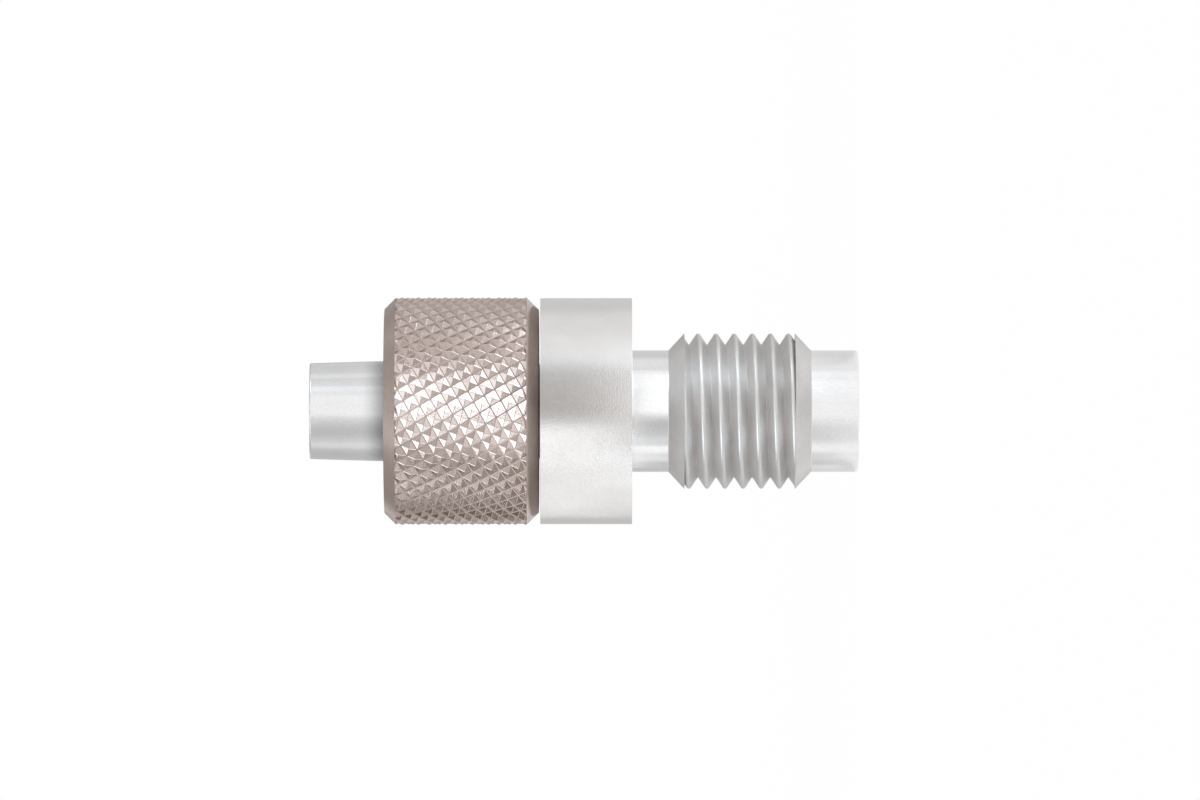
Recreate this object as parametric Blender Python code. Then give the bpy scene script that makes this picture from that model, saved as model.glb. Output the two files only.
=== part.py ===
"""Luer lock adapter with a knurled turning lock nut and a male fine thread.

Three turned pieces stand on one axis, the world's Z axis:
  adapter_body  flange, neck, male thread and pilot, bored through, with a socket in its front face
  luer_cone     male luer taper, retaining shoulder, nut journal and the spigot pressed into the socket
  lock_nut      diamond-knurled nut with the double-start lock thread, free to turn on the journal

The origin is the centre of the pilot's end face, and +Z points to the luer tip.
Sizes are in millimetres until a mesh is made, where MM turns them into metres.
"""

import math

import bmesh
import bpy
from mathutils import Matrix, Vector

MM = 0.001

# Adapter body, from the pilot's end face upwards
PILOT_DIAMETER = 5.02
PILOT_LENGTH = 1.95
THREAD_CHAMFER = 0.66
THREAD_LENGTH = 4.57
THREAD_MAJOR_DIAMETER = 6.42
THREAD_PITCH = 0.748
THREAD_DEPTH = 0.47
THREAD_CREST_WIDTH = 0.19
THREAD_FIRST_CREST = 0.268
NECK_DIAMETER = 5.02
NECK_LENGTH = 1.505
FLANGE_DIAMETER = 9.34
FLANGE_THICKNESS = 3.785
BODY_BORE = 1.6
BODY_EDGE_BREAK = 0.08

# Luer cone: 6 % taper on the diameter, as on every male luer fitting
LUER_TIP_DIAMETER = 3.96
LUER_TAPER = 0.06
LUER_LENGTH = 7.625
LUER_BORE = 2.0
LUER_EDGE_BREAK = 0.06
SPIGOT_WALL = 0.5
SPIGOT_LENGTH = 2.5
SPIGOT_CHAMFER = 0.15
SEAT_STEP = 0.45
SHOULDER_STEP = 0.75
SHOULDER_THICKNESS = 0.8

# Lock nut: what the knurl leaves of its wall sets the outer diameter
NUT_LENGTH = 6.38
NUT_LIP = 0.98
NUT_WALL = 0.56
NUT_REAR_CHAMFER = 0.5
NUT_FRONT_CHAMFER = 0.47
NUT_INNER_CHAMFER = 0.15
LOCK_THREAD_MAJOR_DIAMETER = 8.0
LOCK_THREAD_HEIGHT = 0.5
LOCK_THREAD_STARTS = 2
LOCK_THREAD_LEAD = 5.0
LOCK_THREAD_CREST_WIDTH = 0.6
LOCK_THREAD_FLANK_WIDTH = 0.22
LOCK_THREAD_ABOVE_SHOULDER = 0.1

# Knurl: two crossing families of V grooves, which leave four-sided pyramids
KNURL_DEPTH = 0.15
KNURL_LEFT_STARTS = 48
KNURL_LEFT_AXIAL_PITCH = 0.990
KNURL_RIGHT_STARTS = 28
KNURL_RIGHT_AXIAL_PITCH = 0.573
KNURL_CROSSING_BEHIND_FRONT = 1.08
KNURL_CROSSING_ANGLE = math.radians(-90.3)

# Fits between the pieces
PRESS_GAP = 0.02
RUNNING_CLEARANCE = 0.05
NUT_END_FLOAT = 0.06
SOCKET_BOTTOM_GAP = 0.1

# Turning: a cut band ends in a whole ring that stands a hair proud of its crests
DRILL_POINT_ANGLE = math.radians(118)
RING_PROUD = 0.015
TURNED_SEGMENTS = 64
NUT_SEGMENTS = 96
MALE_THREAD_SEGMENTS = 48
LOCK_THREAD_SEGMENTS = 64
SMOOTH_ANGLE = math.radians(28)
CUT_SNAP = 0.0005
SHORTEST_CUT_EDGE = 0.02

# Heights along the axis, worked out from the sizes above
THREAD_FOOT = PILOT_LENGTH + THREAD_CHAMFER
THREAD_TOP = THREAD_FOOT + THREAD_LENGTH
NECK_FOOT = THREAD_TOP + THREAD_CHAMFER
FLANGE_BACK = NECK_FOOT + NECK_LENGTH
FLANGE_FRONT = FLANGE_BACK + FLANGE_THICKNESS
NUT_REAR = FLANGE_FRONT + NUT_END_FLOAT

# Sizes that one piece takes from another
SPIGOT_DIAMETER = LUER_BORE + 2 * SPIGOT_WALL
SOCKET_DIAMETER = SPIGOT_DIAMETER + 2 * PRESS_GAP
SOCKET_DEPTH = SPIGOT_LENGTH + SOCKET_BOTTOM_GAP
JOURNAL_DIAMETER = SPIGOT_DIAMETER + 2 * SEAT_STEP
JOURNAL_LENGTH = NUT_LIP + 2 * NUT_END_FLOAT - PRESS_GAP
SHOULDER_DIAMETER = JOURNAL_DIAMETER + 2 * SHOULDER_STEP
LIP_BORE = JOURNAL_DIAMETER + 2 * RUNNING_CLEARANCE
LOCK_THREAD_FOOT = NUT_LIP + NUT_END_FLOAT + SHOULDER_THICKNESS + LOCK_THREAD_ABOVE_SHOULDER
NUT_DIAMETER = LOCK_THREAD_MAJOR_DIAMETER + 2 * (NUT_WALL + KNURL_DEPTH)

# The knurl's two leads together, and the climb of one whole set of crossings
KNURL_LEFT_LEAD = KNURL_LEFT_STARTS * KNURL_LEFT_AXIAL_PITCH
KNURL_RIGHT_LEAD = KNURL_RIGHT_STARTS * KNURL_RIGHT_AXIAL_PITCH
KNURL_LEADS = KNURL_LEFT_LEAD + KNURL_RIGHT_LEAD
KNURL_CLIMB = KNURL_LEFT_LEAD * KNURL_RIGHT_LEAD / KNURL_LEADS


def clear_scene():
    """Remove every object that the file holds."""
    for old in list(bpy.data.objects):
        bpy.data.objects.remove(old, do_unlink=True)


def metal(name, colour, roughness):
    """A plain metal with the colour and polish of one piece."""
    material = bpy.data.materials.new(name)
    material.use_nodes = True
    shader = material.node_tree.nodes["Principled BSDF"]
    shader.inputs["Base Color"].default_value = (*colour, 1.0)
    shader.inputs["Metallic"].default_value = 1.0
    shader.inputs["Roughness"].default_value = roughness
    return material


def on_axis(radius, angle, height):
    """The point at a radius and an angle round the axis."""
    return Vector((radius * math.cos(angle), radius * math.sin(angle), height))


def angle_of(vert):
    return math.atan2(vert.co.y, vert.co.x)


def ring(bm, radius, height, segments):
    """A closed circle of vertices, in order of angle."""
    angles = [-math.pi + 2 * math.pi * (step + 0.5) / segments for step in range(segments)]
    return [bm.verts.new(on_axis(radius, angle, height)) for angle in angles]


def join_rings(bm, lower, upper):
    """Close the wall between two rings with equal numbers of vertices."""
    for index, vert in enumerate(lower):
        follower = (index + 1) % len(lower)
        bm.faces.new((vert, lower[follower], upper[follower], upper[index]))


def turn_on(bm, loop, profile):
    """Carry a ring along turned steps, each a radius and a height, and return the last ring."""
    for radius, height in profile:
        step = [bm.verts.new(on_axis(radius, angle_of(vert), height)) for vert in loop]
        join_rings(bm, loop, step)
        loop = step
    return loop


def fill_annulus(bm, outer, inner):
    """Fill the flat ring between two loops that lie in one plane."""
    edges = []
    for loop in (outer, inner):
        count = len(loop)
        for index in range(count):
            pair = (loop[index], loop[(index + 1) % count])
            edges.append(bm.edges.get(pair) or bm.edges.new(pair))
    bmesh.ops.triangle_fill(bm, edges=edges, use_beauty=True)


def trim_band(bm, low, high):
    """Cut a band square at both ends and return its two cut loops, in order of angle."""
    for height, outward in ((low, -1), (high, 1)):
        bmesh.ops.bisect_plane(
            bm,
            geom=bm.verts[:] + bm.edges[:] + bm.faces[:],
            dist=CUT_SNAP,
            plane_co=(0, 0, height),
            plane_no=(0, 0, outward),
            clear_outer=True,
        )
    open_verts = [vert for vert in bm.verts if vert.is_boundary]
    bmesh.ops.remove_doubles(bm, verts=open_verts, dist=SHORTEST_CUT_EDGE)
    middle = (low + high) / 2
    open_verts = [vert for vert in bm.verts if vert.is_boundary]
    lower = sorted((vert for vert in open_verts if vert.co.z < middle), key=angle_of)
    upper = sorted((vert for vert in open_verts if vert.co.z > middle), key=angle_of)
    return lower, upper


def helical_band(bm, profile, pitch, starts, segments, first_crest, low, high):
    """Screw a thread profile round the axis, right-handed, and trim it between two heights.

    The profile lists (height from the crest's middle, radius) over one pitch. One turn climbs
    by starts pitches, where each column of vertices meets itself that many pitches higher.
    """
    per_pitch = len(profile)
    turns_up = starts * per_pitch
    lowest = math.floor((low - first_crest) / pitch) - starts - 1
    highest = math.ceil((high - first_crest) / pitch) + 1
    columns = []
    for segment in range(segments):
        angle = 2 * math.pi * segment / segments
        climb = first_crest + starts * pitch * segment / segments
        column = []
        for thread in range(lowest, highest + 1):
            for offset, radius in profile:
                column.append(bm.verts.new(on_axis(radius, angle, climb + thread * pitch + offset)))
        columns.append(column)
    for segment in range(segments):
        here = columns[segment]
        if segment + 1 < segments:
            there = columns[segment + 1]
        else:
            there = columns[0][turns_up:]
        for row in range(min(len(here), len(there)) - 1):
            bm.faces.new((here[row], there[row], there[row + 1]))
            bm.faces.new((here[row], there[row + 1], here[row + 1]))
    bmesh.ops.delete(bm, geom=[vert for vert in bm.verts if not vert.link_faces], context="VERTS")
    return trim_band(bm, low, high)


def male_thread_profile():
    """One pitch of the body's thread: a narrow flat crest and a sharp root."""
    crest = THREAD_MAJOR_DIAMETER / 2
    half_crest = THREAD_CREST_WIDTH / 2
    return [(-half_crest, crest), (half_crest, crest), (THREAD_PITCH / 2, crest - THREAD_DEPTH)]


def lock_thread_profile():
    """One pitch of the nut's thread: a trapezoid ridge that stands in from the wall."""
    wall = LOCK_THREAD_MAJOR_DIAMETER / 2
    crest = wall - LOCK_THREAD_HEIGHT
    half_crest = LOCK_THREAD_CREST_WIDTH / 2
    half_foot = half_crest + LOCK_THREAD_FLANK_WIDTH
    return [(-half_foot, wall), (-half_crest, crest), (half_crest, crest), (half_foot, wall)]


def knurl_point(left, right, radius, origin_height):
    """The point where left-hand line number left crosses right-hand line number right."""
    turn = (left * KNURL_LEFT_AXIAL_PITCH + right * KNURL_RIGHT_AXIAL_PITCH) / KNURL_LEADS
    climb = (left / KNURL_LEFT_STARTS - right / KNURL_RIGHT_STARTS) * KNURL_CLIMB
    return on_axis(radius, KNURL_CROSSING_ANGLE + 2 * math.pi * turn, origin_height + climb)


def knurled_band(bm, low, high, crossing_height):
    """The knurl's pyramids between two heights: groove lines low, one sharp apex in each cell."""
    crest = NUT_DIAMETER / 2
    root = crest - KNURL_DEPTH
    cell_height = KNURL_CLIMB / KNURL_LEFT_STARTS + KNURL_CLIMB / KNURL_RIGHT_STARTS
    rows_below = (high + cell_height - crossing_height) / KNURL_CLIMB
    rows_above = (low - cell_height - crossing_height) / KNURL_CLIMB
    corners = {}

    def corner(left, right):
        """One vertex for each groove crossing, also where the numbers have gone once round."""
        laps = left // KNURL_LEFT_STARTS
        key = (left - laps * KNURL_LEFT_STARTS, right - laps * KNURL_RIGHT_STARTS)
        if key not in corners:
            corners[key] = bm.verts.new(knurl_point(*key, root, crossing_height))
        return corners[key]

    for left in range(KNURL_LEFT_STARTS):
        share = left / KNURL_LEFT_STARTS
        first = math.floor(KNURL_RIGHT_STARTS * (share - rows_below))
        last = math.ceil(KNURL_RIGHT_STARTS * (share - rows_above))
        for right in range(first, last):
            top = bm.verts.new(knurl_point(left + 0.5, right + 0.5, crest, crossing_height))
            base = (
                corner(left, right),
                corner(left + 1, right),
                corner(left + 1, right + 1),
                corner(left, right + 1),
            )
            for index in range(4):
                bm.faces.new((base[index], base[(index + 1) % 4], top))
    return trim_band(bm, low, high)


def finish_piece(name, bm, height, material, parent):
    """Turn a closed bmesh, in millimetres, into a smooth-shaded object at its height."""
    bmesh.ops.recalc_face_normals(bm, faces=bm.faces[:])
    bm.transform(Matrix.Scale(MM, 4))
    mesh = bpy.data.meshes.new(name)
    bm.to_mesh(mesh)
    bm.free()
    mesh.shade_smooth()
    mesh.set_sharp_from_angle(angle=SMOOTH_ANGLE)
    mesh.materials.append(material)
    piece = bpy.data.objects.new(name, mesh)
    piece.location.z = height * MM
    piece.parent = parent
    bpy.context.scene.collection.objects.link(piece)
    return piece


def add_adapter_body(parent):
    """The body, with z = 0 at the pilot's end face."""
    bm = bmesh.new()
    thread_foot, thread_top = helical_band(
        bm,
        male_thread_profile(),
        pitch=THREAD_PITCH,
        starts=1,
        segments=MALE_THREAD_SEGMENTS,
        first_crest=THREAD_FOOT + THREAD_FIRST_CREST,
        low=THREAD_FOOT,
        high=THREAD_TOP,
    )
    thread_ring = THREAD_MAJOR_DIAMETER / 2 + RING_PROUD
    pilot = PILOT_DIAMETER / 2
    neck = NECK_DIAMETER / 2
    flange = FLANGE_DIAMETER / 2
    bore = BODY_BORE / 2
    socket = SOCKET_DIAMETER / 2
    socket_floor = FLANGE_FRONT - SOCKET_DEPTH
    drill_point = (socket - bore) / math.tan(DRILL_POINT_ANGLE / 2)

    lower_ring = ring(bm, thread_ring, THREAD_FOOT, TURNED_SEGMENTS)
    fill_annulus(bm, lower_ring, thread_foot)
    pilot_end = turn_on(bm, lower_ring, [
        (pilot, PILOT_LENGTH),
        (pilot, BODY_EDGE_BREAK),
        (pilot - BODY_EDGE_BREAK, 0),
    ])
    upper_ring = ring(bm, thread_ring, THREAD_TOP, TURNED_SEGMENTS)
    fill_annulus(bm, upper_ring, thread_top)
    bore_end = turn_on(bm, upper_ring, [
        (neck, NECK_FOOT),
        (neck, FLANGE_BACK),
        (flange, FLANGE_BACK),
        (flange, FLANGE_FRONT),
        (socket + BODY_EDGE_BREAK, FLANGE_FRONT),
        (socket, FLANGE_FRONT - BODY_EDGE_BREAK),
        (socket, socket_floor),
        (bore, socket_floor - drill_point),
        (bore, BODY_EDGE_BREAK),
        (bore + BODY_EDGE_BREAK, 0),
    ])
    join_rings(bm, bore_end, pilot_end)
    steel = metal("turned_stainless_steel", (0.72, 0.71, 0.69), 0.22)
    return finish_piece("adapter_body", bm, 0, steel, parent)


def add_luer_cone(parent):
    """The luer cone, with z = 0 at the step that seats on the flange's front face."""
    bm = bmesh.new()
    spigot = SPIGOT_DIAMETER / 2
    journal = JOURNAL_DIAMETER / 2
    shoulder = SHOULDER_DIAMETER / 2
    shoulder_top = JOURNAL_LENGTH + SHOULDER_THICKNESS
    tip_height = shoulder_top + LUER_LENGTH
    tip = LUER_TIP_DIAMETER / 2
    slope = LUER_TAPER / 2
    bore = LUER_BORE / 2
    edge = LUER_EDGE_BREAK

    spigot_end = ring(bm, spigot - SPIGOT_CHAMFER, -SPIGOT_LENGTH, TURNED_SEGMENTS)
    bore_end = turn_on(bm, spigot_end, [
        (spigot, SPIGOT_CHAMFER - SPIGOT_LENGTH),
        (spigot, 0),
        (journal, 0),
        (journal, JOURNAL_LENGTH),
        (shoulder, JOURNAL_LENGTH),
        (shoulder, shoulder_top),
        (tip + slope * LUER_LENGTH, shoulder_top),
        (tip + slope * edge, tip_height - edge),
        (tip - edge, tip_height),
        (bore + edge, tip_height),
        (bore, tip_height - edge),
        (bore, edge - SPIGOT_LENGTH),
        (bore + edge, -SPIGOT_LENGTH),
    ])
    join_rings(bm, bore_end, spigot_end)
    steel = metal("polished_luer_steel", (0.66, 0.66, 0.67), 0.18)
    return finish_piece("luer_cone", bm, FLANGE_FRONT + PRESS_GAP, steel, parent)


def add_nut_inside(bm):
    """The nut's lock thread, cavity and lip bore, from the mouth's edge to the rear face's."""
    wall = LOCK_THREAD_MAJOR_DIAMETER / 2
    lip = LIP_BORE / 2
    edge = NUT_INNER_CHAMFER
    thread_end = NUT_LENGTH - edge
    thread_foot, thread_top = helical_band(
        bm,
        lock_thread_profile(),
        pitch=LOCK_THREAD_LEAD / LOCK_THREAD_STARTS,
        starts=LOCK_THREAD_STARTS,
        segments=LOCK_THREAD_SEGMENTS,
        first_crest=NUT_LENGTH / 2,
        low=LOCK_THREAD_FOOT,
        high=thread_end,
    )
    upper_ring = ring(bm, wall + RING_PROUD, thread_end, TURNED_SEGMENTS)
    fill_annulus(bm, upper_ring, thread_top)
    mouth = turn_on(bm, upper_ring, [(wall + edge, NUT_LENGTH)])
    lower_ring = ring(bm, wall + RING_PROUD, LOCK_THREAD_FOOT, TURNED_SEGMENTS)
    fill_annulus(bm, lower_ring, thread_foot)
    lip_end = turn_on(bm, lower_ring, [
        (wall + RING_PROUD, NUT_LIP),
        (lip, NUT_LIP),
        (lip, edge),
        (lip + edge, 0),
    ])
    return mouth, lip_end


def add_nut_outside(bm):
    """The nut's knurl and its two chamfers, from the front face's edge to the rear face's."""
    rim = NUT_DIAMETER / 2 + RING_PROUD
    low = NUT_REAR_CHAMFER
    high = NUT_LENGTH - NUT_FRONT_CHAMFER
    knurl_foot, knurl_top = knurled_band(bm, low, high, NUT_LENGTH - KNURL_CROSSING_BEHIND_FRONT)
    upper_ring = ring(bm, rim, high, NUT_SEGMENTS)
    fill_annulus(bm, upper_ring, knurl_top)
    front = turn_on(bm, upper_ring, [(rim - NUT_FRONT_CHAMFER, NUT_LENGTH)])
    lower_ring = ring(bm, rim, low, NUT_SEGMENTS)
    fill_annulus(bm, lower_ring, knurl_foot)
    rear = turn_on(bm, lower_ring, [(rim - NUT_REAR_CHAMFER, 0)])
    return front, rear


def add_lock_nut(parent):
    """The lock nut, with z = 0 at its rear face."""
    bm = bmesh.new()
    front, rear = add_nut_outside(bm)
    inside = bmesh.new()
    mouth, lip_end = add_nut_inside(inside)
    copies = {vert: bm.verts.new(vert.co) for vert in inside.verts}
    for face in inside.faces:
        bm.faces.new([copies[vert] for vert in face.verts])
    fill_annulus(bm, front, [copies[vert] for vert in mouth])
    fill_annulus(bm, rear, [copies[vert] for vert in lip_end])
    inside.free()
    plated = metal("plated_knurled_metal", (0.44, 0.37, 0.33), 0.3)
    return finish_piece("lock_nut", bm, NUT_REAR, plated, parent)


def main():
    clear_scene()
    adapter = bpy.data.objects.new("luer_lock_adapter", None)
    adapter.empty_display_size = FLANGE_DIAMETER * MM
    bpy.context.scene.collection.objects.link(adapter)
    add_adapter_body(adapter)
    add_luer_cone(adapter)
    add_lock_nut(adapter)


main()
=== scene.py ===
"""The luer lock adapter's finished look: fine-surfaced pieces, materials, light and camera.

Sizes are in millimetres until a mesh is made, where MM turns them into metres.
The part stands on its pilot end with +Z along the turning axis. The photograph shows it lying,
with the luer tip at the left, so the camera looks along +Y with +X up.
"""

import math

import bmesh
import bpy
import numpy as np
from mathutils import Matrix, Vector


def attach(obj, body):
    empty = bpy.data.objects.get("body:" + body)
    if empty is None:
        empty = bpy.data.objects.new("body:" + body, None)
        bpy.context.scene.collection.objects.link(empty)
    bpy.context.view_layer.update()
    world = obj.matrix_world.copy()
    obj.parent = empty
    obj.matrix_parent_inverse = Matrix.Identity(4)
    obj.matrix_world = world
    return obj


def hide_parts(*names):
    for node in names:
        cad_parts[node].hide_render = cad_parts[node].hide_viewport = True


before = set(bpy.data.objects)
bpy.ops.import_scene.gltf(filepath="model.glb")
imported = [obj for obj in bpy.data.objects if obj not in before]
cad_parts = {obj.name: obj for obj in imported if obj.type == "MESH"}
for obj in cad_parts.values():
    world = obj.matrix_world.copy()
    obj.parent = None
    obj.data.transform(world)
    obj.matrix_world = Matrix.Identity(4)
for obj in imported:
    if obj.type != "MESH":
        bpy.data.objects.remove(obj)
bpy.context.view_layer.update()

MM = 0.001

# Adapter body, from the pilot's end face upwards
PILOT_RADIUS = 2.51
PILOT_EDGE = 0.04
THREAD_FOOT = 2.61
THREAD_TOP = 7.18
THREAD_RADIUS = 3.21
THREAD_PITCH = 0.748
THREAD_DEPTH = 0.47
THREAD_CREST = 0.11
THREAD_ROOT = 0.03
THREAD_FIRST_CREST = 0.268
CHAMFER = 0.66
NECK_RADIUS = 2.51
FLANGE_BACK = 9.345
FLANGE_FRONT = 13.13
FLANGE_RADIUS = 4.67
BODY_BORE_RADIUS = 0.8
BODY_BORE_EDGE = 0.08
SOCKET_RADIUS = 1.52
SOCKET_EDGE = 0.08
SOCKET_FLOOR = 10.53
DRILL_POINT = 0.43

# The male thread's rounded crest as shares of its half width, with their depths, then the depths
# of the flank's first steps and the height of its last but one over the bottom of the root
CREST_ROUNDING = ((0.45, 0.003), (0.85, 0.016))
FLANK_START = (0.036, 0.055)
FLANK_END = 0.05

# Luer cone, from the step that seats on the flange's front face
CONE_FOOT = 13.15
SPIGOT_RADIUS = 1.5
SPIGOT_LENGTH = 2.5
SPIGOT_CHAMFER = 0.15
JOURNAL_RADIUS = 1.95
JOURNAL_LENGTH = 1.08
SHOULDER_RADIUS = 2.7
SHOULDER_TOP = 1.88
TIP_HEIGHT = 9.505
TIP_RADIUS = 1.98
TIP_EDGE = 0.04
TAPER = 0.03
LUER_BORE_RADIUS = 1.0
LUER_BORE_EDGE = 0.06

# Lock nut, from its rear face
NUT_REAR = 13.19
NUT_LENGTH = 6.38
NUT_FRONT = NUT_REAR + NUT_LENGTH
NUT_LIP = 0.98
NUT_RIM = 4.69
NUT_CREST = 4.71
NUT_REAR_CHAMFER = 0.5
NUT_FRONT_CHAMFER = 0.47
MOUTH_CHAMFER = 0.15
LIP_BORE_RADIUS = 2.0
LIP_CHAMFER = 0.15
LOCK_THREAD_FOOT = 1.94
LOCK_THREAD_RADIUS = 4.0
LOCK_THREAD_HEIGHT = 0.5
LOCK_THREAD_STARTS = 2
LOCK_THREAD_PITCH = 2.5
LOCK_THREAD_HALF_FOOT = 0.52
LOCK_THREAD_HALF_CREST = 0.3
LOCK_THREAD_ROUNDING = 0.06

# Knurl: two sets of helical grooves. A pitch is the distance along the axis from one groove of
# a set to the next. Two grooves cross at CROSSING_HEIGHT and CROSSING_ANGLE. GROOVE_SHARE is half
# a groove's width as a share of its pitch.
KNURL_DEPTH = 0.122
LEFT_STARTS = 48
LEFT_PITCH = 0.990
RIGHT_STARTS = 28
RIGHT_PITCH = 0.573
CROSSING_HEIGHT = 5.30
CROSSING_ANGLE = math.radians(-90.3)
RIDGE_ROUNDING = 0.012
GROOVE_SHARE = 0.05

LEFT_LEAD = LEFT_STARTS * LEFT_PITCH
RIGHT_LEAD = RIGHT_STARTS * RIGHT_PITCH
LEADS = LEFT_LEAD + RIGHT_LEAD
CLIMB = LEFT_LEAD * RIGHT_LEAD / LEADS


# Meshes

# Points round the axis, and how edges are eased
TURNED = 192
THREAD_SEGMENTS = 144
LOCK_THREAD_SEGMENTS = 128
FINE_EDGE = 0.01
EDGE_STEPS = 3
LONGEST_EDGE_SHARE = 0.4
SUPPORT_SHARE = 0.2

# How far the circle at a thread's end lies beyond the thread, and how far the rings where two
# turned surfaces meet on a flat face lie from the bore or the thread inside them
THREAD_MARGIN = 0.01
PILOT_FACE_RINGS = (0.6, 0.3)
MOUTH_FACE_RING = 0.17
REAR_FACE_RING = 0.3

# How near a point has to be to count as on a crest, as on a cut, and as the same cut point
CREST_REACH = 0.001
CUT_REACH = 0.0005
CUT_SNAP = 0.004

SMOOTH_ANGLE = math.radians(32)


def on_axis(radius, angle, height):
    return Vector((radius * math.cos(angle), radius * math.sin(angle), height))


def angle_of(vert):
    return math.atan2(vert.co.y, vert.co.x)


def ring(bm, radius, height):
    """A closed circle of vertices, in order of angle."""
    angles = [-math.pi + 2 * math.pi * (step + 0.5) / TURNED for step in range(TURNED)]
    return [bm.verts.new(on_axis(radius, angle, height)) for angle in angles]


def join_rings(bm, lower, upper):
    for index, vert in enumerate(lower):
        follower = (index + 1) % len(lower)
        face = bm.faces.new((vert, lower[follower], upper[follower], upper[index]))
        face.smooth = True


def eased(profile, radius):
    """A profile whose inner corners are rounded to a small radius.

    A step close to each end of a rounding keeps the shading of the faces beside it straight.
    """
    out = [profile[0]]
    for before, corner, after in zip(profile, profile[1:], profile[2:]):
        c = Vector(corner)
        back = Vector(before) - c
        on = Vector(after) - c
        reach = min(radius, back.length * LONGEST_EDGE_SHARE, on.length * LONGEST_EDGE_SHARE)
        a = c + back.normalized() * reach
        b = c + on.normalized() * reach
        out.append(tuple(a + back.normalized() * reach * SUPPORT_SHARE))
        for step in range(EDGE_STEPS + 1):
            t = step / EDGE_STEPS
            out.append(tuple(a * (1 - t) ** 2 + c * 2 * t * (1 - t) + b * t * t))
        out.append(tuple(b + on.normalized() * reach * SUPPORT_SHARE))
    out.append(profile[-1])
    return out


def turn_on(bm, loop, profile):
    """Carry a ring along a profile of radii and heights that starts at it. Corners are eased."""
    for radius, height in eased(profile, FINE_EDGE)[1:]:
        step = [bm.verts.new(on_axis(radius, angle_of(vert), height)) for vert in loop]
        join_rings(bm, loop, step)
        loop = step
    return loop


def end_ring(bm, radius, height, loop):
    """Fill the flat between a cut loop and a circle at its height, and return the circle."""
    circle = ring(bm, radius, height)
    edges = []
    for around in (circle, loop):
        count = len(around)
        for index in range(count):
            pair = (around[index], around[(index + 1) % count])
            edges.append(bm.edges.get(pair) or bm.edges.new(pair))
    bmesh.ops.triangle_fill(bm, edges=edges, use_beauty=True)
    return circle


def trim_band(bm, low, high):
    """Cut a band square at both ends and return its two cut loops, in order of angle."""
    for height, outward in ((low, -1), (high, 1)):
        bmesh.ops.bisect_plane(
            bm,
            geom=bm.verts[:] + bm.edges[:] + bm.faces[:],
            dist=CUT_REACH,
            plane_co=(0, 0, height),
            plane_no=(0, 0, outward),
            clear_outer=True,
        )
    open_verts = [vert for vert in bm.verts if vert.is_boundary]
    bmesh.ops.remove_doubles(bm, verts=open_verts, dist=CUT_SNAP)
    middle = (low + high) / 2
    open_verts = [vert for vert in bm.verts if vert.is_boundary]
    lower = sorted((vert for vert in open_verts if vert.co.z < middle), key=angle_of)
    upper = sorted((vert for vert in open_verts if vert.co.z > middle), key=angle_of)
    return lower, upper


def helical_band(bm, profile, pitch, starts, segments, first_crest, low, high):
    """Screw a profile of one pitch round the axis, right-handed, and trim it."""
    turns_up = starts * len(profile)
    lowest = math.floor((low - first_crest) / pitch) - starts - 1
    highest = math.ceil((high - first_crest) / pitch) + 1
    columns = []
    for segment in range(segments):
        angle = 2 * math.pi * segment / segments
        climb = first_crest + starts * pitch * segment / segments
        columns.append([
            bm.verts.new(on_axis(radius, angle, climb + thread * pitch + offset))
            for thread in range(lowest, highest + 1)
            for offset, radius in profile
        ])
    for segment in range(segments):
        here = columns[segment]
        there = columns[segment + 1] if segment + 1 < segments else columns[0][turns_up:]
        for row in range(min(len(here), len(there)) - 1):
            face = bm.faces.new((here[row], there[row], there[row + 1], here[row + 1]))
            face.smooth = True
    bmesh.ops.delete(bm, geom=[vert for vert in bm.verts if not vert.link_faces], context="VERTS")
    return trim_band(bm, low, high)


def add_object(name, data):
    new = bpy.data.objects.new(name, data)
    bpy.context.scene.collection.objects.link(new)
    return new


def make_piece(name, bm, height, finishes):
    """Turn a bmesh, in millimetres, into an object at its height.

    Each finish is a material and the lowest and highest point of its zone.
    """
    bmesh.ops.recalc_face_normals(bm, faces=bm.faces[:])
    bm.transform(Matrix.Translation((0, 0, height)))
    bm.transform(Matrix.Scale(MM, 4))
    for face in bm.faces:
        middle = face.calc_center_median().z / MM
        face.material_index = next(
            index for index, (_, low, high) in enumerate(finishes) if low <= middle <= high)
    mesh = bpy.data.meshes.new(name)
    bm.to_mesh(mesh)
    bm.free()
    smooth = np.zeros(len(mesh.polygons), dtype=bool)
    mesh.polygons.foreach_get("use_smooth", smooth)
    mesh.set_sharp_from_angle(angle=SMOOTH_ANGLE)
    mesh.polygons.foreach_set("use_smooth", smooth)
    for material, _, _ in finishes:
        mesh.materials.append(material)
    return add_object(name, mesh)


def thread_profile():
    """One pitch of the male thread, as heights and radii.

    A rounded crest lies between straight flanks, which end in a small round root.
    """
    half = THREAD_CREST / 2
    flank = (THREAD_PITCH / 2 - THREAD_ROOT - half) / (THREAD_DEPTH - THREAD_ROOT)
    flank_depths = (*FLANK_START, THREAD_DEPTH - FLANK_END, THREAD_DEPTH - THREAD_ROOT)
    side = [(half * share, depth) for share, depth in CREST_ROUNDING]
    side += [(half + depth * flank, depth) for depth in flank_depths]
    offsets = [(-offset, depth) for offset, depth in reversed(side)] + [(0.0, 0.0)] + side
    offsets.append((THREAD_PITCH / 2, THREAD_DEPTH))
    return [(offset, THREAD_RADIUS - depth) for offset, depth in offsets]


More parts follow.
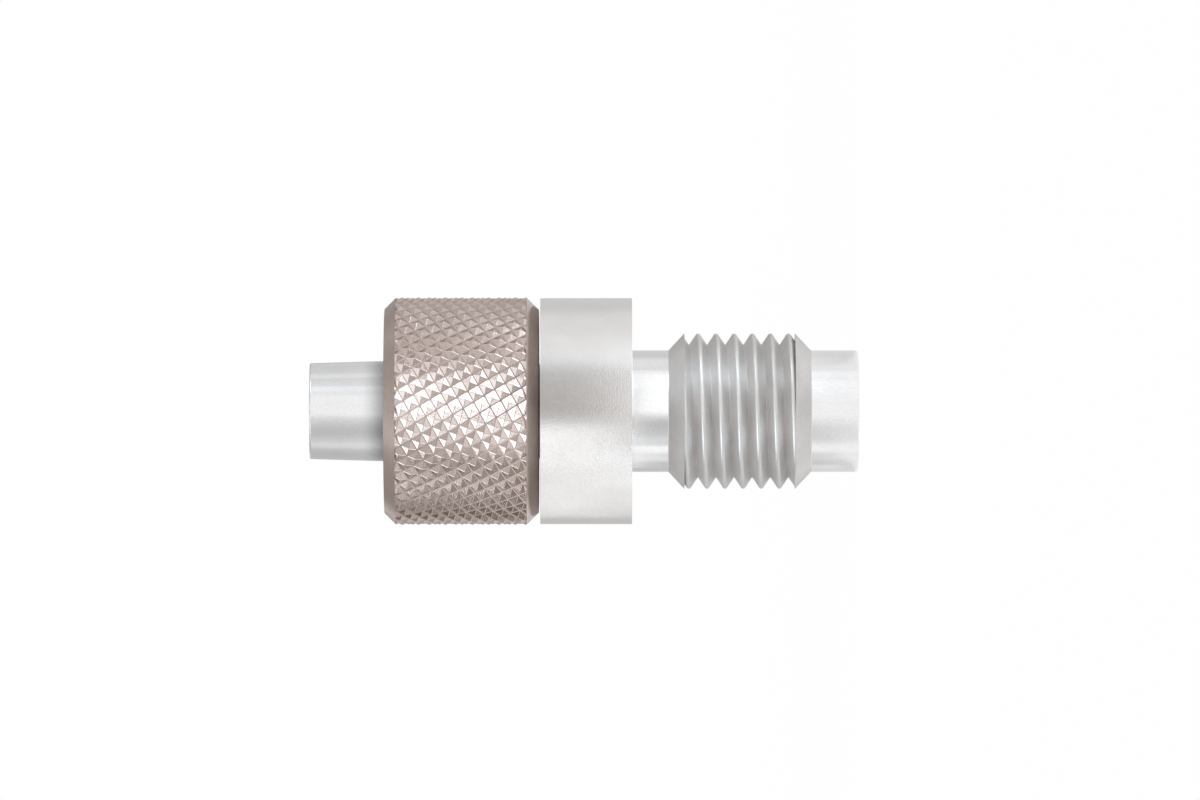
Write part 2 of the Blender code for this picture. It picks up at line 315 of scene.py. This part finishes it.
def body_mesh():
    """The body's outside and its bore, which meet on the pilot's end face."""
    bm = bmesh.new()
    foot, top = helical_band(bm, thread_profile(), THREAD_PITCH, 1, THREAD_SEGMENTS,
                             THREAD_FOOT + THREAD_FIRST_CREST, THREAD_FOOT, THREAD_TOP)
    rim = THREAD_RADIUS + THREAD_MARGIN
    outer_ring, inner_ring = PILOT_FACE_RINGS
    pilot_end = turn_on(bm, end_ring(bm, rim, THREAD_FOOT, foot), [
        (rim, THREAD_FOOT),
        (PILOT_RADIUS, THREAD_FOOT - CHAMFER),
        (PILOT_RADIUS, PILOT_EDGE),
        (PILOT_RADIUS - PILOT_EDGE, 0),
        (BODY_BORE_RADIUS + outer_ring, 0),
    ])
    bore_end = turn_on(bm, end_ring(bm, rim, THREAD_TOP, top), [
        (rim, THREAD_TOP),
        (NECK_RADIUS, THREAD_TOP + CHAMFER),
        (NECK_RADIUS, FLANGE_BACK),
        (FLANGE_RADIUS, FLANGE_BACK),
        (FLANGE_RADIUS, FLANGE_FRONT),
        (SOCKET_RADIUS + SOCKET_EDGE, FLANGE_FRONT),
        (SOCKET_RADIUS, FLANGE_FRONT - SOCKET_EDGE),
        (SOCKET_RADIUS, SOCKET_FLOOR),
        (BODY_BORE_RADIUS, SOCKET_FLOOR - DRILL_POINT),
        (BODY_BORE_RADIUS, BODY_BORE_EDGE),
        (BODY_BORE_RADIUS + BODY_BORE_EDGE, 0),
        (BODY_BORE_RADIUS + inner_ring, 0),
    ])
    join_rings(bm, bore_end, pilot_end)
    return bm


def cone_mesh():
    """The cone, turned from the spigot's end up the outside and back down the bore."""
    bm = bmesh.new()
    foot_of_taper = TIP_RADIUS + TAPER * (TIP_HEIGHT - SHOULDER_TOP)
    start = ring(bm, SPIGOT_RADIUS - SPIGOT_CHAMFER, -SPIGOT_LENGTH)
    end = turn_on(bm, start, [
        (SPIGOT_RADIUS - SPIGOT_CHAMFER, -SPIGOT_LENGTH),
        (SPIGOT_RADIUS, SPIGOT_CHAMFER - SPIGOT_LENGTH),
        (SPIGOT_RADIUS, 0),
        (JOURNAL_RADIUS, 0),
        (JOURNAL_RADIUS, JOURNAL_LENGTH),
        (SHOULDER_RADIUS, JOURNAL_LENGTH),
        (SHOULDER_RADIUS, SHOULDER_TOP),
        (foot_of_taper, SHOULDER_TOP),
        (TIP_RADIUS + TAPER * TIP_EDGE, TIP_HEIGHT - TIP_EDGE),
        (TIP_RADIUS - TIP_EDGE, TIP_HEIGHT),
        (LUER_BORE_RADIUS + LUER_BORE_EDGE, TIP_HEIGHT),
        (LUER_BORE_RADIUS, TIP_HEIGHT - LUER_BORE_EDGE),
        (LUER_BORE_RADIUS, LUER_BORE_EDGE - SPIGOT_LENGTH),
        (LUER_BORE_RADIUS + LUER_BORE_EDGE, -SPIGOT_LENGTH),
    ])
    join_rings(bm, end, start)
    return bm


def knurl_point(left, right, radius):
    """The point where left-hand line number left crosses right-hand line number right."""
    turn = (left * LEFT_PITCH + right * RIGHT_PITCH) / LEADS
    climb = (left / LEFT_STARTS - right / RIGHT_STARTS) * CLIMB
    return on_axis(radius, CROSSING_ANGLE + 2 * math.pi * turn, CROSSING_HEIGHT + climb)


def knurled_band(bm, low, high):
    """The knurl: a flat-faced pyramid in each cell of the crossing grooves.

    The grooves between the pyramids are narrow and flat-bottomed.
    """
    root = NUT_CREST - KNURL_DEPTH
    cell = CLIMB / LEFT_STARTS + CLIMB / RIGHT_STARTS
    rows_below = (high + cell - CROSSING_HEIGHT) / CLIMB
    rows_above = (low - cell - CROSSING_HEIGHT) / CLIMB
    feet = {}

    def foot(left, right, on_left, on_right):
        """The corner of a pyramid's base beside the crossing (left, right)."""
        laps = left // LEFT_STARTS
        key = (left - laps * LEFT_STARTS, right - laps * RIGHT_STARTS, on_left, on_right)
        if key not in feet:
            feet[key] = bm.verts.new(knurl_point(key[0] + on_left * GROOVE_SHARE,
                                                 key[1] + on_right * GROOVE_SHARE, root))
        return feet[key]

    for left in range(LEFT_STARTS):
        share = left / LEFT_STARTS
        first = math.floor(RIGHT_STARTS * (share - rows_below))
        last = math.ceil(RIGHT_STARTS * (share - rows_above))
        for right in range(first, last):
            base = (foot(left, right, 1, 1), foot(left + 1, right, -1, 1),
                    foot(left + 1, right + 1, -1, -1), foot(left, right + 1, 1, -1))
            top = bm.verts.new(knurl_point(left + 0.5, right + 0.5, NUT_CREST))
            for index in range(4):
                bm.faces.new((base[index], base[(index + 1) % 4], top))
            bm.faces.new((base[1], base[2],
                          foot(left + 1, right + 1, 1, -1), foot(left + 1, right, 1, 1)))
            bm.faces.new((base[2], base[3],
                          foot(left, right + 1, 1, 1), foot(left + 1, right + 1, -1, 1)))
            bm.faces.new((base[2], foot(left + 1, right + 1, 1, -1),
                          foot(left + 1, right + 1, 1, 1), foot(left + 1, right + 1, -1, 1)))
    bmesh.ops.recalc_face_normals(bm, faces=bm.faces[:])
    crest = NUT_CREST - CREST_REACH
    ridges = [edge for edge in bm.edges if any(vert.co.xy.length > crest for vert in edge.verts)]
    bmesh.ops.bevel(bm, geom=ridges, offset=RIDGE_ROUNDING, offset_type="OFFSET",
                    segments=1, affect="EDGES", profile=0.5)
    return trim_band(bm, low, high)


def lock_thread_profile():
    """One pitch of the nut's inner thread, as heights and radii, with its crest in the middle."""
    reach = LOCK_THREAD_PITCH / 2
    wall = LOCK_THREAD_RADIUS
    crest = wall - LOCK_THREAD_HEIGHT
    return eased([
        (-reach, wall),
        (-LOCK_THREAD_HALF_FOOT, wall),
        (-LOCK_THREAD_HALF_CREST, crest),
        (LOCK_THREAD_HALF_CREST, crest),
        (LOCK_THREAD_HALF_FOOT, wall),
        (reach, wall),
    ], LOCK_THREAD_ROUNDING)[:-1]


def nut_inside():
    """The nut's inner thread, mouth and lip, with the two loops that meet the outside."""
    bm = bmesh.new()
    thread_end = NUT_LENGTH - MOUTH_CHAMFER
    foot, top = helical_band(bm, lock_thread_profile(), LOCK_THREAD_PITCH, LOCK_THREAD_STARTS,
                             LOCK_THREAD_SEGMENTS, NUT_LENGTH / 2, LOCK_THREAD_FOOT, thread_end)
    rim = LOCK_THREAD_RADIUS + THREAD_MARGIN
    painted_shade_heights = turn_on(bm, end_ring(bm, rim, thread_end, top), [
        (rim, thread_end),
        (LOCK_THREAD_RADIUS + MOUTH_CHAMFER, NUT_LENGTH),
    ])
    lip = turn_on(bm, end_ring(bm, rim, LOCK_THREAD_FOOT, foot), [
        (rim, LOCK_THREAD_FOOT),
        (rim, NUT_LIP),
        (LIP_BORE_RADIUS, NUT_LIP),
        (LIP_BORE_RADIUS, LIP_CHAMFER),
        (LIP_BORE_RADIUS + LIP_CHAMFER, 0),
    ])
    return bm, painted_shade_heights, lip


def nut_mesh():
    """The nut's knurled outside and its inside, joined on the front and rear faces."""
    bm = bmesh.new()
    low = NUT_REAR_CHAMFER
    high = NUT_LENGTH - NUT_FRONT_CHAMFER
    foot, top = knurled_band(bm, low, high)
    front = turn_on(bm, end_ring(bm, NUT_RIM, high, top), [
        (NUT_RIM, high),
        (NUT_RIM - NUT_FRONT_CHAMFER, NUT_LENGTH),
        (LOCK_THREAD_RADIUS + MOUTH_FACE_RING, NUT_LENGTH),
    ])
    rear = turn_on(bm, end_ring(bm, NUT_RIM, low, foot), [
        (NUT_RIM, low),
        (NUT_RIM - NUT_REAR_CHAMFER, 0),
        (LIP_BORE_RADIUS + REAR_FACE_RING, 0),
    ])
    inside, painted_shade_heights, lip = nut_inside()
    copies = {vert: bm.verts.new(vert.co) for vert in inside.verts}
    for face in inside.faces:
        new = bm.faces.new([copies[vert] for vert in face.verts])
        new.smooth = face.smooth
    join_rings(bm, front, [copies[vert] for vert in painted_shade_heights])
    join_rings(bm, rear, [copies[vert] for vert in lip])
    inside.free()
    return bm


# Materials

# What every turned metal shares: the noise of its tool marks, its clouds of tone, the speckle of
# its grain, and how far marks and clouds change its roughness, as shares of its variation
QUARTER_TURN = 0.25
MARKS_ROUND = 0.8
MARKS_ROUGHNESS = 0.7
CLOUD_WIDTH = 1.4
CLOUD_RANGE = (0.35, 0.65)
GRAIN_RANGE = (0.3, 0.7)
SPECKLE = (0.95, 1.05)
MARKS_IN_POLISH = 1.2
CLOUD_IN_POLISH = 0.8

# Painted shade at the nut's mouth: how far below and above the nut's front the cone's colour
# darkens, and what is left of its tone inside
PAINTED_SHADE_BELOW = 0.25
PAINTED_SHADE_ABOVE = 1.0
PAINTED_MOUTH_SHADE = 0.36


def node(tree, kind, inputs=None, **settings):
    """A node with its settings and inputs, where an input is a value or another node's output."""
    new = tree.nodes.new(kind)
    for name, value in settings.items():
        setattr(new, name, value)
    for name, value in (inputs or {}).items():
        if isinstance(value, bpy.types.NodeSocket):
            tree.links.new(value, new.inputs[name])
        else:
            new.inputs[name].default_value = value
    return new


def maths(tree, operation, a, b=0.0, **settings):
    return node(tree, "ShaderNodeMath", {0: a, 1: b}, operation=operation, **settings).outputs[0]


def ramp(tree, value, start, end, at_start=0.0, at_end=1.0, **settings):
    """A value that goes from at_start to at_end while another goes from start to end."""
    return node(tree, "ShaderNodeMapRange", {
        "Value": value, "From Min": start, "From Max": end,
        "To Min": at_start, "To Max": at_end}, **settings).outputs[0]


def mixed_colour(tree, share, first, second):
    return node(tree, "ShaderNodeMixRGB", {
        "Fac": share, "Color1": first, "Color2": second}).outputs[0]


def noise(tree, place, width, detail):
    return node(tree, "ShaderNodeTexNoise", {
        "Vector": place, "Scale": 1 / (width * MM), "Detail": detail}).outputs["Fac"]


def bump(tree, height, distance, **below):
    return node(tree, "ShaderNodeBump", {
        "Height": height, "Distance": distance * MM, "Strength": 1.0, **below}).outputs[0]


def turned_space(tree, place, across, around):
    """Noise coordinates that are short across the turning marks and long around the axis."""
    split = node(tree, "ShaderNodeSeparateXYZ", {0: place})
    x, y, z = split.outputs
    radius = maths(tree, "SQRT", maths(tree, "ADD", maths(tree, "MULTIPLY", x, x),
                                       maths(tree, "MULTIPLY", y, y)))
    cosine = maths(tree, "DIVIDE", x, radius)
    sine = maths(tree, "DIVIDE", y, radius)
    space = node(tree, "ShaderNodeCombineXYZ", {
        0: maths(tree, "MULTIPLY", radius, across),
        1: maths(tree, "MULTIPLY", z, across),
        2: maths(tree, "MULTIPLY", cosine, around),
    }).outputs[0]
    return space, maths(tree, "MULTIPLY", sine, around)


def turned_metal(name, colour, tint, roughness, anisotropy, mark_height, mark_width, grain_height,
                 grain_width, variation, painted_shade_heights=None):
    """Turned metal: rings of tool marks, a fine grain over them, and uneven polish.

    Between two heights, where given, the colour is darkened as painted shade down into a recess.
    """
    material = bpy.data.materials.new(name)
    material.use_nodes = True
    tree = material.node_tree
    shader = tree.nodes["Principled BSDF"]
    shader.inputs["Metallic"].default_value = 1.0
    shader.inputs["Anisotropic"].default_value = anisotropy
    shader.inputs["Anisotropic Rotation"].default_value = QUARTER_TURN
    tangent = node(tree, "ShaderNodeTangent", direction_type="RADIAL", axis="Z")
    tree.links.new(tangent.outputs[0], shader.inputs["Tangent"])

    place = node(tree, "ShaderNodeTexCoord").outputs["Object"]
    space, depth = turned_space(tree, place, 1 / (mark_width * MM), MARKS_ROUND)
    marks = node(tree, "ShaderNodeTexNoise", {
        "Vector": space, "W": depth, "Scale": 1.0, "Detail": 3.0,
        "Roughness": MARKS_ROUGHNESS}, noise_dimensions="4D").outputs["Fac"]
    grain = noise(tree, place, grain_width, detail=2.0)
    cloud = noise(tree, place, CLOUD_WIDTH, detail=3.0)

    tone = mixed_colour(tree, ramp(tree, cloud, *CLOUD_RANGE), (*colour, 1), (*tint, 1))
    speckle_and_painted_shade = ramp(tree, grain, *GRAIN_RANGE, *SPECKLE)
    # Painted shade: the colour is darkened between the given heights, deepest inside the recess.
    if painted_shade_heights:
        height = node(tree, "ShaderNodeSeparateXYZ", {0: place}).outputs[2]
        painted_shade = ramp(tree, height, painted_shade_heights[0] * MM, painted_shade_heights[1] * MM, PAINTED_MOUTH_SHADE, 1.0,
                      interpolation_type="SMOOTHSTEP")
        speckle_and_painted_shade = maths(tree, "MULTIPLY", speckle_and_painted_shade, painted_shade)
    shaded = node(tree, "ShaderNodeVectorMath", {0: tone, "Scale": speckle_and_painted_shade}, operation="SCALE")
    tree.links.new(shaded.outputs[0], shader.inputs["Base Color"])

    uneven = maths(tree, "ADD", maths(tree, "MULTIPLY", marks, variation * MARKS_IN_POLISH),
                   maths(tree, "MULTIPLY", cloud, variation * CLOUD_IN_POLISH))
    rough = maths(tree, "ADD", uneven, roughness - variation)
    tree.links.new(rough, shader.inputs["Roughness"])

    coarse = bump(tree, marks, mark_height)
    tree.links.new(bump(tree, grain, grain_height, Normal=coarse), shader.inputs["Normal"])
    return material


turned_steel = turned_metal(
    "turned_steel", colour=(0.88, 0.88, 0.88), tint=(0.84, 0.84, 0.85),
    roughness=0.13, anisotropy=0.4, mark_height=0.0003, mark_width=0.07,
    grain_height=0.0002, grain_width=0.05, variation=0.03)
satin_steel = turned_metal(
    "satin_steel", colour=(0.82, 0.802, 0.792), tint=(0.79, 0.773, 0.763),
    roughness=0.20, anisotropy=0.3, mark_height=0.0001, mark_width=0.05,
    grain_height=0.006, grain_width=0.05, variation=0.05)
thread_steel = turned_metal(
    "threaded_steel", colour=(0.715, 0.70, 0.69), tint=(0.655, 0.64, 0.63),
    roughness=0.44, anisotropy=0.2, mark_height=0.0030, mark_width=0.06,
    grain_height=0.003, grain_width=0.05, variation=0.06)
# The cone's colour is darkened at the nut's mouth as painted shade.
cone_steel = turned_metal(
    "fine_turned_steel_painted_shade", colour=(0.855, 0.855, 0.86), tint=(0.815, 0.815, 0.825),
    roughness=0.15, anisotropy=0.4, mark_height=0.0003, mark_width=0.06,
    grain_height=0.0002, grain_width=0.05, variation=0.03,
    painted_shade_heights=(NUT_FRONT - PAINTED_SHADE_BELOW, NUT_FRONT + PAINTED_SHADE_ABOVE))
nut_plating = turned_metal(
    "plated_nut", colour=(0.555, 0.463, 0.427), tint=(0.505, 0.418, 0.382),
    roughness=0.17, anisotropy=0.0, mark_height=0.0002, mark_width=0.08,
    grain_height=0.006, grain_width=0.045, variation=0.06)


# Pieces, each with its finishes from one height to another. A face takes the first that fits.

def dress(name, bm, height, finishes, body, cad_node):
    piece = make_piece(name, bm, height, finishes)
    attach(piece, body)
    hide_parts(cad_node)


ANYWHERE = 100.0
FACE_REACH = 0.001
dress("body_turned", body_mesh(), 0,
      ((thread_steel, THREAD_FOOT - CHAMFER, THREAD_TOP + CHAMFER),
       (thread_steel, FLANGE_FRONT - FACE_REACH, FLANGE_FRONT + FACE_REACH),
       (satin_steel, FLANGE_BACK - FACE_REACH, FLANGE_FRONT),
       (turned_steel, -ANYWHERE, ANYWHERE)),
      "adapter", "adapter_body")
dress("cone_turned", cone_mesh(), CONE_FOOT, ((cone_steel, -ANYWHERE, ANYWHERE),),
      "adapter", "luer_cone")
dress("nut_knurled", nut_mesh(), NUT_REAR, ((nut_plating, -ANYWHERE, ANYWHERE),),
      "nut", "lock_nut")


# Studio: the camera, the white surround and the pale floor

CENTRE_HEIGHT = 10.667
CENTRE_ABOVE_AXIS = 0.46
CAMERA_DISTANCE = 551.2
LENS = 400.0
SENSOR_WIDTH = 36.0
NEAREST_SEEN = 10.0
FARTHEST_SEEN = 10000.0
WHITE = (1, 1, 1, 1)
SURROUND_LIGHT = 0.9
SURROUND_SHOWN = 1.0
FLOOR_PAINT = (0.9, 0.9, 0.9, 1)
FLOOR_SHOWN_WHITE = 0.975
FLOOR_RADIUS = 400.0
FLOOR_SEGMENTS = 64


def add_camera():
    """The photograph's view: level and far away, with +X up and the luer tip at the left."""
    camera = bpy.data.cameras.new("camera")
    camera.lens = LENS
    camera.sensor_width = SENSOR_WIDTH
    camera.clip_start = NEAREST_SEEN * MM
    camera.clip_end = FARTHEST_SEEN * MM
    viewer = add_object("camera", camera)
    viewer.matrix_world = Matrix((
        (0, 1, 0, CENTRE_ABOVE_AXIS * MM),
        (0, 0, -1, -CAMERA_DISTANCE * MM),
        (-1, 0, 0, CENTRE_HEIGHT * MM),
        (0, 0, 0, 1),
    ))
    bpy.context.scene.camera = viewer
    bpy.context.scene.view_settings.view_transform = "Standard"


def empty_tree(owner):
    """The node tree of a material or a world, without its first nodes."""
    owner.use_nodes = True
    owner.node_tree.nodes.clear()
    return owner.node_tree


def background_rays(tree):
    """1 for the rays that show the background: the camera's, and those in metal and glass."""
    rays = node(tree, "ShaderNodeLightPath").outputs
    shown = maths(tree, "ADD", rays["Is Camera Ray"], rays["Is Glossy Ray"])
    return maths(tree, "ADD", shown, rays["Is Transmission Ray"], use_clamp=True)


def add_surround():
    world = bpy.data.worlds.new("studio")
    bpy.context.scene.world = world
    tree = empty_tree(world)
    soft = node(tree, "ShaderNodeBackground", {"Color": WHITE, "Strength": SURROUND_LIGHT})
    white = node(tree, "ShaderNodeBackground", {"Color": WHITE, "Strength": SURROUND_SHOWN})
    mixed = node(tree, "ShaderNodeMixShader", {
        0: background_rays(tree), 1: soft.outputs[0], 2: white.outputs[0]})
    node(tree, "ShaderNodeOutputWorld", {"Surface": mixed.outputs[0]})


def add_floor():
    """A floor that is nearly white in the picture, whatever light falls on it."""
    material = bpy.data.materials.new("pale_floor")
    tree = empty_tree(material)
    paint = node(tree, "ShaderNodeBsdfDiffuse", {"Color": FLOOR_PAINT})
    lift = node(tree, "ShaderNodeEmission", {"Color": WHITE, "Strength": 1.0})
    share = maths(tree, "MULTIPLY", background_rays(tree), FLOOR_SHOWN_WHITE)
    mixed = node(tree, "ShaderNodeMixShader", {0: share, 1: paint.outputs[0], 2: lift.outputs[0]})
    node(tree, "ShaderNodeOutputMaterial", {"Surface": mixed.outputs[0]})

    mesh = bpy.data.meshes.new("floor")
    disc = bmesh.new()
    bmesh.ops.create_circle(disc, cap_ends=True, segments=FLOOR_SEGMENTS, radius=FLOOR_RADIUS * MM)
    disc.to_mesh(mesh)
    disc.free()
    mesh.materials.append(material)
    return add_object("floor", mesh)


add_camera()
add_surround()
floor = add_floor()


# Light

# The tent: pale walls with soft-edged panels, each laid over those before it. The metal and the
# floor see it and the camera doesn't. A direction is its tilt out of the plane across the axis,
# up to +90 at the floor's side, and its turn round the axis from the camera's side, positive
# towards +X.
TENT_RADIUS = 150.0
TENT_STEP = 2
WALL_LIGHT = 0.80
TENT_PANELS = (
    # tilt, turn, half tilt, half turn, tilt edge, turn edge, light
    (-20, -165, 60, 45, 20, 30, 0.46),
    (-21, -136, 5, 20, 5, 12, 0.82),
    (-24, -74, 8, 22, 8, 18, 0.20),
    (-18, 114, 6, 8, 6, 10, 0.62),
    (-66, 115, 8, 20, 10, 20, 0.55),
    (-80, -100, 6, 30, 6, 30, 0.86),
    (-48, 38, 8, 14, 8, 14, 0.98),
    (-52, -8, 7, 20, 8, 22, 2.0),
    (-44, -58, 7, 14, 10, 22, 3.8),
    (-24, 63, 5, 9, 9, 14, 4.2),
    # the strip that the cone shows
    (-8, 14, 4, 18, 3, 16, 1.03),
    (-8, 72, 4, 6, 3, 10, 0.66),
    (-8, 92, 4, 4, 3, 7, 0.88),
    (-8, 130, 4, 20, 3, 16, 0.70),
    (-8, -56, 4, 10, 3, 32, 0.64),
    (-8, -90, 4, 4, 3, 10, 0.80),
    (-8, -135, 4, 25, 3, 18, 0.55),
    # the strip that the neck, the pilot and the flange show
    (2, 25, 6, 32, 3, 12, 1.11),
    (2, 74, 6, 4, 3, 8, 1.12),
    (2, 106, 6, 8, 3, 12, 0.86),
    (2, 150, 6, 20, 3, 20, 0.68),
    (2, -42, 6, 9, 3, 16, 0.44),
    (2, -76, 6, 5, 3, 10, 1.06),
    (2, -105, 6, 5, 3, 10, 0.84),
    (2, -145, 6, 25, 3, 20, 0.60),
)

# The cards: sheets near the part that only the metal sees. Those at the front and the side stand
# at a place on Y or X, the others lie at a height. Each gives its own light outside its panels.
FRONT_CARD_PLACE = -20
FRONT_CARD_LIGHT = 0.79
FRONT_PANELS = (
    # x, z, half x, half z, x edge, z edge, light
    (7, 12.95, 8, 3.45, 9, 0.4, 0.50),
    (-30, 12.95, 23.5, 3.45, 5, 0.4, 1.20),
    (60, 7.6, 20, 1.6, 25, 0.3, 1.15),
    (30, 7.6, 30, 1.6, 8, 0.3, 1.25),
    (-15, 7.6, 6, 1.6, 10, 0.3, 0.52),
    (-36, 7.6, 6, 1.6, 12, 0.3, 0.66),
)
SIDE_CARD_PLACE = -40
SIDE_CARD_LIGHT = 0.95
SIDE_PANELS = (
    # y, z, half y, half z, y edge, z edge, light
    (-6, 12, 14, 9, 22, 1, 1.12),
)
LEVEL_CARD_LIGHT = 1.0
NEAR_CARD_HEIGHT = 3.5
NEAR_PANELS = (
    # x, y, half x, half y, x edge, y edge, light
    (-12, -11, 6, 5, 5, 4, 0.52),
    (4, -14, 5, 3, 5, 4, 1.4),
    (13, -10.5, 3, 4, 4, 4, 5.6),
)
LOW_CARD_HEIGHT = 5
LOW_PANELS = (
    # x, y, half x, half y, x edge, y edge, light
    (-13, -5, 4, 6, 4, 4, 0.40),
    (-21, 5, 4, 8, 5, 6, 0.36),
    (-20.5, -19, 4, 2.5, 6, 5, 3.8),
    (-28, -13, 3, 3, 6, 6, 2.4),
)
BACK_CARD_HEIGHT = 0.05
BACK_PANELS = (
    # x, y, half x, half y, x edge, y edge, light
    (0, 71, 58, 70, 16, 2, 0.76),
)
FAR_CARD_HEIGHT = 0.3
FAR_PANELS = (
    # x, y, half x, half y, x edge, y edge, light
    (2, -34, 12, 5, 5, 4, 0.80),
    (-60, 14, 10, 16, 8, 12, 0.22),
)

# Light turns cool from the first to the second strength here, and warm from the second down to
# the first.
COOL_STRENGTHS = (1.2, 2.4)
COOL_LIGHT = (0.87, 1.0, 1.09, 1)
WARM_STRENGTHS = (0.2, 0.58)
WARM_LIGHT = (1.05, 0.87, 0.78, 1)


def direction(tilt, turn):
    t, b = math.radians(tilt), math.radians(turn)
    return Vector((math.cos(t) * math.sin(b), -math.cos(t) * math.cos(b), -math.sin(t)))


def blend(level, panels, first, second, wrap=None):
    """The light at a place after each soft-edged panel is laid over the last."""
    for at_first, at_second, half_first, half_second, edge_first, edge_second, light in panels:
        off = abs(second - at_second)
        if wrap:
            off = min(off % wrap, wrap - off % wrap)
        share = 1.0
        for beyond, edge in ((abs(first - at_first) - half_first, edge_first),
                             (off - half_second, edge_second)):
            part = min(max(1 - beyond / edge, 0.0), 1.0)
            share *= part * part * (3 - 2 * part)
        level += (light - level) * share
    return level


def light_material():
    """A glow as strong as each point of a sheet says."""
    material = bpy.data.materials.new("studio_light")
    tree = empty_tree(material)
    strength = node(tree, "ShaderNodeAttribute", attribute_name="glow").outputs["Fac"]
    coolness = ramp(tree, strength, *COOL_STRENGTHS)
    warmth = ramp(tree, strength, *WARM_STRENGTHS, at_start=1.0, at_end=0.0)
    tone = mixed_colour(tree, coolness, WHITE, COOL_LIGHT)
    tone = mixed_colour(tree, warmth, tone, WARM_LIGHT)
    emit = node(tree, "ShaderNodeEmission", {"Color": tone, "Strength": strength})
    node(tree, "ShaderNodeOutputMaterial", {"Surface": emit.outputs[0]})
    material.cycles.emission_sampling = "NONE"
    return material


def light_sheet(name, rows, columns, place, glow, closed):
    """A sheet of points that gives light and that the camera doesn't see."""
    points = [place(row, column) * MM for row in rows for column in columns]
    levels = [glow(row, column) for row in rows for column in columns]
    across = len(columns)
    faces = []
    for row in range(len(rows) - 1):
        for column in range(across if closed else across - 1):
            follower = (column + 1) % across
            faces.append((row * across + column, row * across + follower,
                          (row + 1) * across + follower, (row + 1) * across + column))
    mesh = bpy.data.meshes.new(name)
    mesh.from_pydata(points, [], faces)
    mesh.attributes.new("glow", "FLOAT", "POINT").data.foreach_set("value", levels)
    mesh.materials.append(studio_light)
    sheet = add_object(name, mesh)
    sheet.visible_camera = False
    return sheet


def light_card(name, panels, light, rows, columns, place):
    """A flat sheet that only the metal sees."""
    card = light_sheet(name, rows, columns, place,
                       lambda row, column: blend(light, panels, row, column), closed=False)
    card.visible_diffuse = False
    card.visible_shadow = False
    return card


def level_card(name, panels, height, rows, columns):
    """A light card whose rows go along X and whose columns go along Y."""
    return light_card(name, panels, LEVEL_CARD_LIGHT, rows, columns,
                      lambda x, y: Vector((x, y, height)))


def spread(start, pitch, count):
    """Evenly spaced places, where a range would need fractions."""
    return [start + pitch * step for step in range(count)]


studio_light = light_material()
tent = light_sheet(
    "light_tent", range(-90, 91, TENT_STEP), range(-180, 180, TENT_STEP),
    lambda tilt, turn: direction(tilt, turn) * TENT_RADIUS + Vector((0, 0, CENTRE_HEIGHT)),
    lambda tilt, turn: blend(WALL_LIGHT, TENT_PANELS, tilt, turn, wrap=360),
    closed=True)
cards = (
    light_card("front_card", FRONT_PANELS, FRONT_CARD_LIGHT,
               range(-52, 103, 2), spread(6.4, 0.4, 26),
               lambda x, z: Vector((x, FRONT_CARD_PLACE, z))),
    level_card("back_card", BACK_PANELS, BACK_CARD_HEIGHT, range(-74, 75, 4), range(3, 140, 4)),
    light_card("side_card", SIDE_PANELS, SIDE_CARD_LIGHT,
               range(-20, 41, 2), spread(9.0, 0.5, 15),
               lambda y, z: Vector((SIDE_CARD_PLACE, y, z))),
    level_card("near_card", NEAR_PANELS, NEAR_CARD_HEIGHT, range(-20, 7), spread(-21, 0.5, 32)),
    level_card("near_card_side", NEAR_PANELS, NEAR_CARD_HEIGHT, range(6, 27), range(-21, 6)),
    level_card("low_card", LOW_PANELS, LOW_CARD_HEIGHT, range(-40, -9), range(-30, 1)),
    level_card("low_card_side", LOW_PANELS, LOW_CARD_HEIGHT, range(-32, -9), range(0, 21)),
    level_card("far_card", FAR_PANELS, FAR_CARD_HEIGHT, range(-78, 25, 2), range(-46, -20, 2)),
    level_card("far_card_side", FAR_PANELS, FAR_CARD_HEIGHT,
               range(-78, -23, 2), range(-22, 43, 2)),
)
